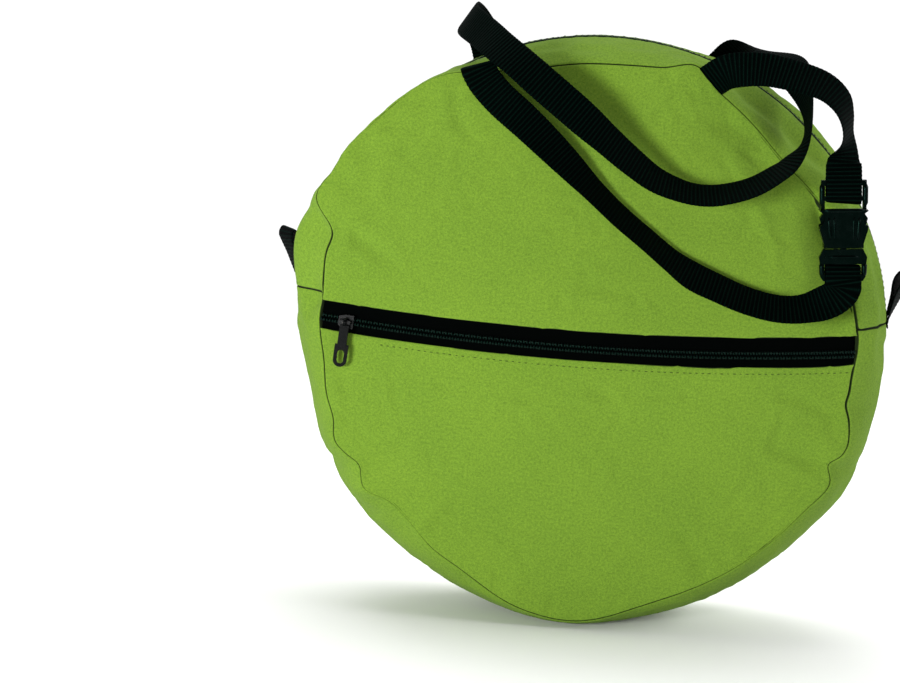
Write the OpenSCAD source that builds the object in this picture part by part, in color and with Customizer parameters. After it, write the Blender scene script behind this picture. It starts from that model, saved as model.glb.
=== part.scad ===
// Round, drum-shaped rope storage bag with two webbing handles, a zipped mouth
// and a zipped front pocket.
//
// Frame: X to the right, Y to the back, Z up. The bag's axis runs along Y and the
// origin is the centre of the small flat patch that the bag stands on.
// Sizes are in millimetres. "s" is the distance in front of the bag's middle plane,
// so s = -y, and "r" is the distance from the bag's axis.

/* [Bag] */
// Outer diameter of the bag at its middle
bag_d = 440; // [400:1:480]
// Depth of the bag from front seam to back seam
bag_depth = 110; // [96:1:130]
// Radius of the seams between the end panels and the side gusset
seam_r = 198; // [180:1:205]
// How far the end panels bulge past their seams
panel_crown = 13; // [6:1:18]
// Thickness of the lined cloth
cloth = 2; // [1.5:0.1:2.4]
// Depth of the flat that the bag rests on
base_flat = 5.5; // [4:0.5:8]

/* [Main zip] */
// Angle of each end of the main zip above the bag's centre
zip_end_angle = 6; // [4:1:10]
// Width of the slot in the gusset that shows the zip
zip_slot = 16; // [14:1:20]
// Width of one zip tape
tape_w = 13; // [11:1:14]
// Angle at which the closed slider stands
slider_angle = 160; // [150:1:162]

/* [Front pocket] */
// Height of the middle of the pocket zip above the floor
pocket_zip_z = 212; // [205:1:216]
// How much higher the ends of the pocket zip are than its middle
pocket_zip_rise = 8; // [5:1:10]
// Half of the straight distance between the pocket zip's ends
pocket_zip_half = 192; // [186:1:194]
// Depth of the pocket behind its seam
pocket_depth = 8; // [6:1:16]

/* [Webbing] */
// Width of the handle webbing
web_w = 25; // [20:1:30]
// Thickness of the handle webbing
web_t = 1.8; // [1.4:0.1:2.2]
// Distance from the seams to the lines that the handles swing about
handle_lift = 5; // [4:0.5:8]
// Angles of the front handle's ends round the front seam
front_handle_ends = [116, 70]; // [60:1:125]
// Angles of the back handle's ends round the back seam
back_handle_ends = [116, 67]; // [60:1:125]
// Height of the side tabs' loops
tab_h = 40; // [34:1:46]

/* [Buckle] */
// Overall length of the closed buckle
buckle_l = 72; // [66:1:80]
// Overall width of the buckle
buckle_w = 34; // [32:1:38]
// Thickness of the buckle's socket
buckle_t = 10; // [9:0.5:12]
// Centre of the buckle
buckle_at = [170, -79, 312]; // [-200:1:330]
// Lean of the buckle from upright
buckle_lean = -4.5; // [-10:0.5:5]

/* [Hidden] */
$fn = 64;
bag_r = bag_d / 2;
half_depth = bag_depth / 2;
axis_z = bag_r - base_flat;
fold_z = axis_z + bag_r * sin(zip_end_angle);
crown_s = half_depth + panel_crown;
gap = 0.25;
big = 600;

// Arcs of the bag's section: the gusset's and the end panels'
gusset_drop = bag_r - seam_r;
gusset_r = (half_depth * half_depth + gusset_drop * gusset_drop) / (2 * gusset_drop);
crown_r = (seam_r * seam_r + panel_crown * panel_crown) / (2 * panel_crown);

// The pocket zip is an arc in a plane that tilts forwards and down by pz_tilt
pz_end_s = crown_s - (crown_r - sqrt(crown_r * crown_r - pocket_zip_half * pocket_zip_half));
pz_bulge = crown_s - pz_end_s;
pz_sag = sqrt(pz_bulge * pz_bulge + pocket_zip_rise * pocket_zip_rise);
pz_tilt = atan2(pocket_zip_rise, pz_bulge);
pz_r = (pocket_zip_half * pocket_zip_half + pz_sag * pz_sag) / (2 * pz_sag);
pz_swing = asin(pocket_zip_half / pz_r);
pz_centre = [0, pz_r * cos(pz_tilt) - crown_s, pocket_zip_z + pz_r * sin(pz_tilt)];
pocket_edge_up = 12;
pocket_edge_down = -8;

// Zip chain: two rows of coil side by side on their tapes
coil_w = 2.75;
coil_h = 2.6;
tape_t = 1.1;
tape_in = 1;

// Zip slider and pull
slider_l = 11;
slider_w = 9.8;
slider_clear = 0.6;
cap_t = 1.5;
bridge_h = 4;
bridge_w = 2.6;
bridge_t = 1.2;
pull_l = 33;
pull_w = 10;
pull_t = 1.6;

// Buckle
bar_t = 4;
socket_top = 15;
socket_mouth = -12;
plug_top = -13;
latch_foot = plug_top + 0.6;
arm_x = 8;

green = [0.50, 0.64, 0.22];
inner_green = [0.42, 0.54, 0.20];
black = [0.06, 0.07, 0.06];
soft_black = [0.11, 0.12, 0.11];
metal = [0.55, 0.55, 0.55];

// ---- Routes of the webbing, each point with the way that its face looks ----
front_normal = [0, -1, 0];
function seam_point(angle, s) =
    [(seam_r + handle_lift) * cos(angle), -s, axis_z + (seam_r + handle_lift) * sin(angle)];
function on_route(p, n = front_normal) = concat(p, n);
// A point given in the buckle's own frame, across, back and along
function on_buckle(p) =
    buckle_at + [p[0] * cos(buckle_lean) + p[2] * sin(buckle_lean), p[1],
                 p[2] * cos(buckle_lean) - p[0] * sin(buckle_lean)];

long_route = [
    on_route(seam_point(front_handle_ends[0], 58), [0, -0.8, 0.6]),
    on_route([-77, -67, 387], [0, -0.95, 0.3]),
    on_route([-57, -75, 371]),
    on_route([-25, -79, 343]),
    on_route([2, -80, 318]),
    on_route([32, -80, 296]),
    on_route([60, -80, 275]),
    on_route([91, -79, 260], [0.05, -1, 0.1]),
    on_route([122, -78, 253], [0, -1, 0.2]),
    on_route([148, -78, 253], [-0.15, -1, 0.25]),
    on_route([166, -80, 262], [-0.1, -1, 0.1]),
    on_route(on_buckle([0, -3.8, -42])),
    on_route(on_buckle([0, -3.9, -34]), [0, -1, 0]),
    on_route(on_buckle([0, -2.2, -29]), [0, -0.7, 0.7]),
    on_route(on_buckle([0, 1, -27.8]), [0, 0.2, 1]),
    on_route(on_buckle([0, 3.6, -31]), [0, 1, 0.3]),
    on_route(on_buckle([0, 3.6, -38]), [0, 1, -0.3])
];
short_route = [
    on_route(on_buckle([0, 4.2, 17]), [0, -0.3, -1]),
    on_route(on_buckle([0, 0.6, 17.7]), [0, -0.4, -1]),
    on_route(on_buckle([0, -3, 19.8]), [0, -1, -0.5]),
    on_route(on_buckle([0, -3.9, 23.4])),
    on_route(on_buckle([0, -1.6, 27.3]), [0, -0.8, 0.6]),
    on_route(on_buckle([0, 2.6, 29.8]), [0, -0.6, 0.8]),
    on_route(on_buckle([0, 3.7, 34]), [0, -1, 0.1]),
    on_route(on_buckle([0, 3.6, 40])),
    on_route([166, -78, 364], [0.45, -0.9, 0]),
    on_route([167, -82, 378], [0.9, -0.45, 0.1]),
    on_route([165, -85, 392], [0.85, -0.5, 0.2]),
    on_route([159, -86, 404], [0.6, -0.7, 0.4]),
    on_route([147, -84, 413], [0.35, -0.8, 0.5]),
    on_route([129, -80, 418], [0.1, -0.85, 0.5]),
    on_route([107, -74, 419], [0, -0.85, 0.5]),
    on_route([88, -66, 416], [0, -0.85, 0.5]),
    on_route(seam_point(front_handle_ends[1], 58), [0.1, -0.8, 0.6])
];
back_route = [
    on_route(seam_point(back_handle_ends[0], -58), [0, 1, 0.2]),
    on_route([-97, 60, 421], [0, 1, 0.2]),
    on_route([-105, 46, 441], [0, 0.7, 0.7]),
    on_route([-109, 14, 450], [0, 0, 1]),
    on_route([-107, -20, 447], [0, -0.3, 0.95]),
    on_route([-98, -50, 437], [0, -0.55, 0.8]),
    on_route([-84, -72, 423], [0, -0.8, 0.6]),
    on_route([-67, -87, 409], [0, -0.9, 0.4]),
    on_route([-45, -94, 390], [0, -1, 0.2]),
    on_route([-18, -94, 366]),
    on_route([8, -91, 346], [0, -1, 0.1]),
    on_route([32, -88, 336], [0, -0.9, 0.3]),
    on_route([53, -86, 331], [0, -0.8, 0.5]),
    on_route([74, -85, 331], [0, -0.7, 0.7]),
    on_route([95, -85, 337], [0.15, -0.75, 0.6]),
    on_route([113, -84, 346], [0.4, -0.75, 0.4]),
    on_route([128, -80, 357], [0.7, -0.6, 0.2]),
    on_route([138, -70, 372], [0.95, -0.3, 0.1]),
    on_route([142, -50, 388], [1, -0.1, 0.2]),
    on_route([140, -26, 404], [0.9, 0, 0.4]),
    on_route([131, 2, 419], [0.6, 0, 0.8]),
    on_route([114, 30, 428], [0.3, 0.3, 0.9]),
    on_route([97, 50, 426], [0.1, 0.8, 0.6]),
    on_route([86, 60, 414], [0, 1, 0.2]),
    on_route(seam_point(back_handle_ends[1], -58), [0, 1, 0.2])
];
route_steps = 3;
// Steps at which the straps are cut, so that a plug or a sewn end can bend on its own
left_end_cut = 7;
plug_end_cut = 24;
right_end_cut = 37;

// Names of the sub-parts

// ---- Webbing: a flat ribbon swept along a smooth curve through its route, or along
// the steps of it between two of them ----
function curve_point(a, b, c, d, t) =
    0.5 * (2 * b + (c - a) * t + (2 * a - 5 * b + 4 * c - d) * t * t
           + (3 * b - a - 3 * c + d) * t * t * t);
function smooth(route, steps) =
    let (last = len(route) - 1)
    [for (i = [0:last - 1]) for (k = [0:steps - 1])
        curve_point(route[max(i - 1, 0)], route[i], route[i + 1], route[min(i + 2, last)], k / steps),
     route[last]];
function place(v) = [v[0], v[1], v[2]];
function facing(v) = [v[3], v[4], v[5]];
function unit(v) = v / norm(v);

module ribbon(route, from = 0, to = 999, w = web_w, t = web_t) {
    line = smooth(route, route_steps);
    last = len(line) - 1;
    points = [
        for (i = [from:min(to, last)])
            let (along = unit(place(line[min(i + 1, last)]) - place(line[max(i - 1, 0)])),
                 across = unit(cross(along, facing(line[i]))),
                 out = cross(across, along),
                 p = place(line[i]) + (i == from && from > 0 ? 2 * gap * along : [0, 0, 0]))
            for (c = [[1, 1], [-1, 1], [-1, -1], [1, -1]])
                p + across * c[0] * w / 2 + out * c[1] * t / 2
    ];
    rows = len(points) / 4 - 1;
    sides = [for (i = [0:rows - 1]) for (k = [0:3])
        [4 * i + k, 4 * i + (k + 1) % 4, 4 * i + 4 + (k + 1) % 4, 4 * i + 4 + k]];
    ends = [[3, 2, 1, 0], [4 * rows, 4 * rows + 1, 4 * rows + 2, 4 * rows + 3]];
    polyhedron(points, concat(sides, ends), convexity = 6);
}

// ---- Solids of revolution about the bag's axis ----
module about_bag_axis() {
    translate([0, 0, axis_z]) rotate([90, 0, 0]) children();
}

// Section of the filled bag, drawn with r across and s up, brought in by t
module bag_section(t) {
    intersection() {
        union() {
            translate([0, -crown_s]) square([bag_r - gusset_r, 2 * crown_s]);
            translate([bag_r - gusset_r, 0]) circle(r = gusset_r - t, $fn = 128);
        }
        translate([0, crown_s - crown_r]) circle(r = crown_r - t, $fn = 720);
        translate([0, crown_r - crown_s]) circle(r = crown_r - t, $fn = 720);
    }
}

// The filled bag between two distances in front of its middle plane, brought in by t
module bag_solid(t, s_low = -big, s_high = big) {
    about_bag_axis() rotate_extrude($fn = 180) intersection() {
        bag_section(t);
        translate([0, s_low]) square([big, s_high - s_low]);
    }
}

// The cloth shell with its flat base, between the same limits
module bag_shell(s_low = -big, s_high = big) {
    difference() {
        intersection() {
            bag_solid(0, s_low, s_high);
            above(0);
        }
        intersection() {
            bag_solid(cloth, s_low - 1, s_high + 1);
            above(cloth);
        }
    }
}

module above(z) {
    translate([-big / 2, -big / 2, z]) cube([big, big, big]);
}

module below(z) {
    translate([-big / 2, -big / 2, z - big]) cube([big, big, big]);
}

// ---- Strips that follow the pocket zip: v is up the cloth, w is out of it ----
module pocket_strip(v_low, v_high, w_low, w_high, reach = 0) {
    swing = pz_swing + reach;
    translate(pz_centre) rotate([pz_tilt, 0, 0]) rotate([0, 0, -90])
        rotate_extrude(angle = 2 * swing, start = -swing, $fn = 720)
            translate([pz_r, 0]) rotate(pz_tilt)
                translate([w_low, v_low]) square([w_high - w_low, v_high - v_low]);
}

// ---- Cloth ----
module front_panel_upper() {
    color(green) intersection() {
        bag_shell(half_depth - 1);
        above(fold_z + gap);
    }
}

module front_panel_fold() {
    color(green) intersection() {
        bag_shell(half_depth - 1);
        below(fold_z - gap);
        pocket_strip(pocket_edge_up, 60, -15, 15, 3);
    }
}

module pocket_panel() {
    color(green) intersection() {
        bag_shell(half_depth - 1);
        pocket_strip(-230, pocket_edge_down, -30, 15, 3);
    }
}

module pocket_lining() {
    wall_s = half_depth - pocket_depth;
    color(inner_green) intersection() {
        union() {
            bag_solid(cloth + 0.1, wall_s - cloth, wall_s);
            intersection() {
                bag_solid(cloth + 0.1, wall_s - cloth);
                above(fold_z - 1 - cloth);
            }
        }
        above(cloth + 0.1);
        below(fold_z - 1);
    }
}

module back_panel() {
    color(green) bag_shell(-big, 1 - half_depth);
}

module gusset_lower() {
    color(green) intersection() {
        bag_shell(1 - half_depth, half_depth - 1);
        below(fold_z - gap);
    }
}

module gusset_upper_front() {
    color(green) intersection() {
        bag_shell(zip_slot / 2, half_depth - 1);
        above(fold_z + gap);
    }
}

module gusset_upper_back() {
    color(green) intersection() {
        bag_shell(1 - half_depth, -zip_slot / 2);
        above(fold_z + gap);
    }
}

// ---- Main zip ----
module zip_ring(r_low, r_high, s_low, s_high) {
    first = zip_end_angle + 1;
    about_bag_axis()
        rotate_extrude(angle = 180 - 2 * first, start = first, $fn = 360)
            translate([r_low, s_low]) square([r_high - r_low, s_high - s_low]);
}

tape_r = bag_r - cloth - 1.6;
module main_zip_tape_front() {
    color(black) zip_ring(tape_r - tape_t, tape_r, tape_in, tape_in + tape_w);
}

module main_zip_tape_back() {
    color(black) zip_ring(tape_r - tape_t, tape_r, -tape_in - tape_w, -tape_in);
}

module main_zip_coil_front() {
    color(soft_black) zip_ring(tape_r, tape_r + coil_h, gap, gap + coil_w);
}

module main_zip_coil_back() {
    color(soft_black) zip_ring(tape_r, tape_r + coil_h, -gap - coil_w, -gap);
}

// Zip slider over the chain: X along the zip, Y across it, Z out, with z = 0 on
// top of the coils
module zip_slider() {
    nose = 0.7;
    rail = slider_w / 2 - coil_w - gap - slider_clear;
    difference() {
        translate([0, 0, -coil_h + slider_clear])
            linear_extrude(coil_h + cap_t)
                polygon([[-slider_l / 2, -nose * slider_w / 2], [-slider_l / 2, nose * slider_w / 2],
                         [0, slider_w / 2], [slider_l / 2, slider_w / 2],
                         [slider_l / 2, -slider_w / 2], [0, -slider_w / 2]]);
        translate([-slider_l, rail - slider_w / 2, -coil_h])
            cube([2 * slider_l, slider_w - 2 * rail, coil_h + slider_clear]);
    }
    translate([0, 0, cap_t + slider_clear]) rotate([90, 0, 0])
        linear_extrude(bridge_w, center = true)
            difference() {
                polygon([[-4.6, -0.01], [-3.8, bridge_h], [3.8, bridge_h], [4.6, -0.01]]);
                polygon([[-3.1, -1], [-2.7, bridge_h - bridge_t], [2.7, bridge_h - bridge_t], [3.1, -1]]);
            }
}
bridge_z = cap_t + slider_clear + bridge_h - bridge_t / 2;
under_bridge_z = cap_t + slider_clear + (bridge_h - bridge_t) / 2;

// Flat tongue of a zip pull along +X from start, with its oval hole
module pull_tongue(start) {
    hole_w = 5;
    hole_l = 10;
    linear_extrude(pull_t, center = true)
        difference() {
            union() {
                translate([start, -pull_w / 3]) square([pull_l - start - pull_w / 2, 2 * pull_w / 3]);
                translate([pull_l / 2, -pull_w / 2]) square([(pull_l - pull_w) / 2, pull_w]);
                translate([pull_l - pull_w / 2, 0]) circle(d = pull_w);
            }
            translate([pull_l - pull_w / 2, 0]) circle(d = hole_w);
            translate([pull_l - pull_w / 2 - hole_l / 2, -hole_w / 2]) square([hole_l / 2, hole_w]);
            translate([pull_l - pull_w / 2 - hole_l / 2, 0]) circle(d = hole_w);
        }
}

module at_main_slider() {
    translate([0, 0, axis_z]) rotate([0, 90 - slider_angle, 0])
        translate([0, 0, tape_r + coil_h]) children();
}

module main_zip_slider() {
    color(black) at_main_slider() zip_slider();
}

// Lies flat along the zip, on a pin under the slider's bridge
module main_zip_pull() {
    cheek_in = bridge_w / 2 + 0.4;
    cheek_out = pull_w / 3;
    pin_r = 0.8;
    color(black) at_main_slider() translate([0, 0, under_bridge_z]) {
        pull_tongue(6.5);
        for (side = [-1, 1])
            translate([0, side * (cheek_in + cheek_out) / 2, 0]) {
                rotate([90, 0, 0]) cylinder(r = pin_r, h = cheek_out - cheek_in, center = true);
                translate([3.5, 0, 0]) cube([7, cheek_out - cheek_in, pull_t - 0.2], center = true);
            }
        rotate([90, 0, 0]) cylinder(r = pin_r, h = 2 * cheek_out, center = true);
    }
}

// ---- Pocket zip ----
module pocket_zip_tape_upper() {
    color(black) pocket_strip(tape_in, tape_in + tape_w, -cloth - 0.3 - tape_t, -cloth - 0.3);
}

module pocket_zip_tape_lower() {
    color(black) pocket_strip(-tape_in - tape_w, -tape_in, -cloth - 0.3 - tape_t, -cloth - 0.3);
}

module pocket_zip_coil_upper() {
    color(soft_black) pocket_strip(gap, gap + coil_w, -cloth - 0.3, coil_h - cloth - 0.3);
}

module pocket_zip_coil_lower() {
    color(soft_black) pocket_strip(-gap - coil_w, -gap, -cloth - 0.3, coil_h - cloth - 0.3);
}

// Frame of the pocket slider: X along the zip, Y up the cloth, Z out of it
pocket_slider_swing = pz_swing - 1.2 * asin(slider_l / pz_r);
module at_pocket_slider() {
    translate(pz_centre) rotate([pz_tilt, 0, 0]) rotate([0, 0, -90 - pocket_slider_swing])
        translate([pz_r, 0, 0]) rotate([0, -pz_tilt, 0])
            translate([coil_h - cloth - 0.3, 0, 0])
                rotate([0, 90, 0]) rotate([0, 0, 90]) children();
}

module pocket_zip_slider() {
    color(black) at_pocket_slider() zip_slider();
}

// Hangs down from a ring round the slider's bridge
module pocket_zip_pull() {
    ring_in = 1.7;
    ring_out = 2.9;
    ring_t = 2;
    color(metal) at_pocket_slider() translate([0, 0, bridge_z]) {
        rotate([0, 90, 0]) difference() {
            cylinder(r = ring_out, h = ring_t, center = true);
            cylinder(r = ring_in, h = 2 * ring_t, center = true);
        }
        rotate([0, 0, -90]) pull_tongue(ring_in + 0.5);
    }
}

// ---- Side tabs: webbing folded into a loop and sewn in at the zip's ends ----
module side_tab(side) {
    loop_w = 13;
    foot_w = 4;
    foot = [side * (bag_r + 1.4), fold_z - 3];
    top = [side * (bag_r + 2.8 + loop_w / 2), fold_z + tab_h - loop_w / 2];
    rotate([90, 0, 0]) linear_extrude(web_w, center = true)
        difference() {
            hull() {
                translate(foot) circle(d = foot_w, $fn = 32);
                translate(top) circle(d = loop_w, $fn = 32);
            }
            hull() {
                translate(foot + [0, foot_w]) circle(d = 0.8, $fn = 32);
                translate(top) circle(d = loop_w - 2 * web_t, $fn = 32);
            }
        }
}

module side_tab_left() {
    color(black) side_tab(-1);
}

module side_tab_right() {
    color(black) side_tab(1);
}

// ---- Handles ----
module handle_webbing_long() {
    color(black) ribbon(long_route, from = left_end_cut, to = plug_end_cut);
}

// Stretch of the long webbing that moves with the plug
module handle_webbing_plug_end() {
    color(black) ribbon(long_route, from = plug_end_cut);
}

module handle_webbing_short() {
    color(black) ribbon(short_route, to = right_end_cut);
}

// Stretches of the two webbings that bend where they are sewn into the seam
module handle_sewn_end_left() {
    color(black) ribbon(long_route, to = left_end_cut);
}

module handle_sewn_end_right() {
    color(black) ribbon(short_route, from = right_end_cut);
}

module back_handle_webbing() {
    color(black) ribbon(back_route);
}

// ---- Side-release buckle: X across, Y back, Z along, plug at the bottom ----
module at_buckle() {
    translate(buckle_at) rotate([0, buckle_lean, 0]) children();
}

// Extrudes an outline drawn with X across and Z along, centred on the strap
module plate(t) {
    rotate([90, 0, 0]) linear_extrude(t, center = true) children();
}

module socket_outline(inset) {
    half = buckle_w / 2 - inset;
    mouth = 14 - inset;
    polygon([[-mouth, socket_mouth - 1], [-mouth, socket_mouth + 3], [-half, 1], [-half, socket_top],
             [half, socket_top], [half, 1], [mouth, socket_mouth + 3], [mouth, socket_mouth - 1]]);
}

module buckle_socket() {
    wall = 1.6;
    rail = 2.6;
    frame_w = buckle_w - 2;
    color(black) at_buckle() {
        difference() {
            plate(buckle_t) intersection() {
                socket_outline(0);
                translate([-buckle_w, socket_mouth]) square([2 * buckle_w, buckle_l]);
            }
            plate(buckle_t - 2 * wall) intersection() {
                socket_outline(wall);
                translate([-buckle_w, socket_mouth - 2])
                    square([2 * buckle_w, socket_top - socket_mouth]);
            }
            // Openings at the sides that the latches' buttons stand in
            plate(buckle_t - 2 * wall)
                for (side = [-1, 1]) translate([side * buckle_w / 2, 8.5]) square([12, 12], center = true);
            plate(2 * buckle_t)
                for (side = [-1, 1]) translate([side * (buckle_w / 2 + 2), 9]) circle(r = 5.5);
        }
        // Ladder that holds the short webbing
        plate(bar_t) difference() {
            translate([-frame_w / 2, socket_top]) square([frame_w, buckle_l / 2 - socket_top]);
            translate([rail - frame_w / 2, socket_top]) square([frame_w - 2 * rail, 6.2]);
            translate([rail - frame_w / 2, 24.4]) square([frame_w - 2 * rail, 7.6]);
        }
    }
}

module buckle_plug() {
    rail = 2.8;
    tongue_w = 4.4;
    bottom = -buckle_l / 2;
    color(black) at_buckle() {
        plate(bar_t) difference() {
            polygon([[-14, bottom], [-16, bottom + 3], [-16, bottom + 10], [-17, plug_top - 6],
                     [-14, plug_top], [14, plug_top], [17, plug_top - 6], [16, bottom + 10],
                     [16, bottom + 3], [14, bottom]]);
            translate([rail - 16, bottom + 4.5]) square([32 - 2 * rail, 7.5]);
        }
        plate(6.4) translate([-13, plug_top - 7]) square([26, 7]);
        plate(3) translate([-tongue_w / 2, plug_top - 1]) square([tongue_w, 22]);
    }
}

// Sprung arm of the plug with the button that catches in the socket's side
module buckle_latch(side) {
    color(black) at_buckle()
        plate(5.6) polygon([for (p = [
            [arm_x - 1.5, latch_foot], [arm_x + 1.5, latch_foot], [arm_x + 2, 4.5], [16, 5],
            [17, 9], [14.5, 12.6], [arm_x + 1, 12.6], [arm_x - 0.5, 8]
        ]) [side * p[0], p[1]]]);
}

module buckle_latch_left() {
    buckle_latch(-1);
}

module buckle_latch_right() {
    buckle_latch(1);
}

front_panel_upper();
front_panel_fold();
pocket_panel();
pocket_lining();
back_panel();
gusset_lower();
gusset_upper_front();
gusset_upper_back();
main_zip_tape_front();
main_zip_tape_back();
main_zip_coil_front();
main_zip_coil_back();
main_zip_slider();
main_zip_pull();
pocket_zip_tape_upper();
pocket_zip_tape_lower();
pocket_zip_coil_upper();
pocket_zip_coil_lower();
pocket_zip_slider();
pocket_zip_pull();
side_tab_left();
side_tab_right();
handle_webbing_long();
handle_webbing_plug_end();
handle_webbing_short();
handle_sewn_end_left();
handle_sewn_end_right();
back_handle_webbing();
buckle_socket();
buckle_plug();
buckle_latch_left();
buckle_latch_right();
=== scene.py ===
"""Looks of the round rope bag: cloth shell, zips, webbing handles and buckle round the CAD frame."""
import math

import bmesh
import bpy
import numpy as np
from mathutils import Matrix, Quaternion, Vector
from mathutils.bvhtree import BVHTree


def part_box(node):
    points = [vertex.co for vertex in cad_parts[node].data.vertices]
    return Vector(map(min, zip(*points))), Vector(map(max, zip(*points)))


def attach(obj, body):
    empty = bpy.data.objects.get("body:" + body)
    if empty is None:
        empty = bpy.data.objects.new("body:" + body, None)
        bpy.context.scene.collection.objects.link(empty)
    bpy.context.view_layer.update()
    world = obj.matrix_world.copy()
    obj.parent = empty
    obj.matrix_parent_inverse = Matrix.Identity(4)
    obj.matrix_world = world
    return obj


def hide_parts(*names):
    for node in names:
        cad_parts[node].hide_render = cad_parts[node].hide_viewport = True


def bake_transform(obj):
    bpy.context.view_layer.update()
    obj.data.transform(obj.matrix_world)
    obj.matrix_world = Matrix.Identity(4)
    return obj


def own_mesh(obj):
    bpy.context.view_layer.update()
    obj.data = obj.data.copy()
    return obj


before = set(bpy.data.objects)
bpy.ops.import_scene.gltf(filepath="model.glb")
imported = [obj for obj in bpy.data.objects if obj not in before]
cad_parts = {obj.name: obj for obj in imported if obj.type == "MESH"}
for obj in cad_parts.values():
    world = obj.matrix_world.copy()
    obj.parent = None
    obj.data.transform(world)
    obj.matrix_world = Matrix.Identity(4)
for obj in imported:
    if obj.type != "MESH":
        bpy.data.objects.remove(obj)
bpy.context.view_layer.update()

# ---- Driving dimensions, in metres, in the CAD model's frame ----
MM = 0.001
back_low, back_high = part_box("back_panel")
gusset_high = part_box("gusset_lower")[1]
flap_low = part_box("front_panel_upper")[0]
AXIS_Z = (back_low.z + back_high.z) / 2
BAG_R = gusset_high.x
HALF_DEPTH = back_low.y + 1 * MM
CROWN_S = back_high.y
SEAM_R = 198 * MM
FOLD_Z = (gusset_high.z + flap_low.z) / 2
GUSSET_DROP = BAG_R - SEAM_R
GUSSET_R = (HALF_DEPTH ** 2 + GUSSET_DROP ** 2) / (2 * GUSSET_DROP)
PANEL_CROWN = CROWN_S - HALF_DEPTH
CROWN_R = (SEAM_R ** 2 + PANEL_CROWN ** 2) / (2 * PANEL_CROWN)

# Pocket zip: an arc in a plane that tilts forwards and down
PZ_HALF = 192 * MM
PZ_Z = 212 * MM
PZ_RISE = 8 * MM
PZ_BULGE = CROWN_R - math.sqrt(CROWN_R ** 2 - PZ_HALF ** 2)
PZ_SAG = math.hypot(PZ_BULGE, PZ_RISE)
PZ_TILT = math.atan2(PZ_RISE, PZ_BULGE)
PZ_R = (PZ_HALF ** 2 + PZ_SAG ** 2) / (2 * PZ_SAG)
PZ_SWING = math.asin(PZ_HALF / PZ_R)
PZ_CENTRE = Vector((0, PZ_R * math.cos(PZ_TILT) - CROWN_S, PZ_Z + PZ_R * math.sin(PZ_TILT)))
PZ_OUT = Vector((0, -math.cos(PZ_TILT), -math.sin(PZ_TILT)))
PZ_NORMAL = Vector((0, -math.sin(PZ_TILT), math.cos(PZ_TILT)))
POCKET_EDGE_UP = 12 * MM
POCKET_EDGE_DOWN = -8 * MM

# Main zip
ZIP_END = math.radians(6)
ZIP_SLOT = 8 * MM
TAPE_R = BAG_R - 3.6 * MM
SLOT_EDGE_R = TAPE_R + 1.9 * MM
COIL_H = 2.6 * MM
COIL_W = 2.75 * MM
COIL_GAP = 0.25 * MM

# Thickness of the cloth, the pocket's lining and the zip tape
CLOTH_T = 1.1 * MM
LINING_T = 0.6 * MM
TAPE_T = 0.8 * MM

# Threads of the cloth, the webbing and the zip tape lie this far apart
CLOTH_THREAD = 0.75 * MM
WEB_THREAD = 0.55 * MM
TAPE_THREAD = 0.4 * MM

# Webbing
WEB_W = 25 * MM
WEB_T = 1.6 * MM
RIB = 2.9 * MM
RIB_DEEP = 0.42 * MM


# ---- Materials ----
def new_material(name, color, roughness, sheen=0.0, specular=0.5):
    mat = bpy.data.materials.new(name)
    mat.use_nodes = True
    shader = mat.node_tree.nodes["Principled BSDF"]
    shader.inputs["Base Color"].default_value = (*color, 1)
    shader.inputs["Roughness"].default_value = roughness
    shader.inputs["Sheen Weight"].default_value = sheen
    shader.inputs["Sheen Roughness"].default_value = 0.5
    shader.inputs["Specular IOR Level"].default_value = specular
    return mat, mat.node_tree, shader


def add(tree, kind, **values):
    node = tree.nodes.new(kind)
    for key, value in values.items():
        if key in node.inputs:
            node.inputs[key].default_value = value
        else:
            setattr(node, key, value)
    return node


def math_node(tree, operation, a, b=None, c=None):
    node = tree.nodes.new("ShaderNodeMath")
    node.operation = operation
    for i, value in enumerate((a, b, c)):
        if value is None:
            continue
        if isinstance(value, (int, float)):
            node.inputs[i].default_value = value
        else:
            tree.links.new(value, node.inputs[i])
    return node.outputs[0]


def weave_coordinates(tree):
    """The cloth's own flat coordinates, across and along, in metres."""
    node = add(tree, "ShaderNodeAttribute", attribute_name="weave")
    split = add(tree, "ShaderNodeSeparateXYZ")
    tree.links.new(node.outputs["Vector"], split.inputs[0])
    return node.outputs["Vector"], split.outputs[0], split.outputs[1]


def noise(tree, vector, scale, detail, rough):
    node = add(tree, "ShaderNodeTexNoise", Scale=scale, Detail=detail, Roughness=rough)
    tree.links.new(vector, node.inputs["Vector"])
    return node.outputs["Fac"]


def object_noise(tree, scale, detail, rough):
    coords = add(tree, "ShaderNodeTexCoord")
    return noise(tree, coords.outputs["Object"], scale, detail, rough)


def ramp(tree, factor, stops):
    node = tree.nodes.new("ShaderNodeValToRGB")
    cr = node.color_ramp
    while len(cr.elements) < len(stops):
        cr.elements.new(0.5)
    for element, (position, color) in zip(cr.elements, stops):
        element.position = position
        element.color = (*color, 1)
    tree.links.new(factor, node.inputs["Fac"])
    return node.outputs["Color"]


def mix_color(tree, factor, a, b, blend="MIX"):
    node = tree.nodes.new("ShaderNodeMix")
    node.data_type = "RGBA"
    node.blend_type = blend
    for socket, value in ((node.inputs[0], factor), (node.inputs[6], a), (node.inputs[7], b)):
        if isinstance(value, (int, float)):
            socket.default_value = value
        elif isinstance(value, tuple):
            socket.default_value = (*value, 1)
        else:
            tree.links.new(value, socket)
    return node.outputs[2]


def bump(tree, shader, height, strength, distance):
    node = add(tree, "ShaderNodeBump", Strength=strength, Distance=distance)
    tree.links.new(height, node.inputs["Height"])
    tree.links.new(node.outputs["Normal"], shader.inputs["Normal"])


def wave(tree, value, pitch):
    """A sine wave along a value, with one half wave in each pitch."""
    return math_node(tree, "SINE", math_node(tree, "MULTIPLY", value, math.pi / pitch))


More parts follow.
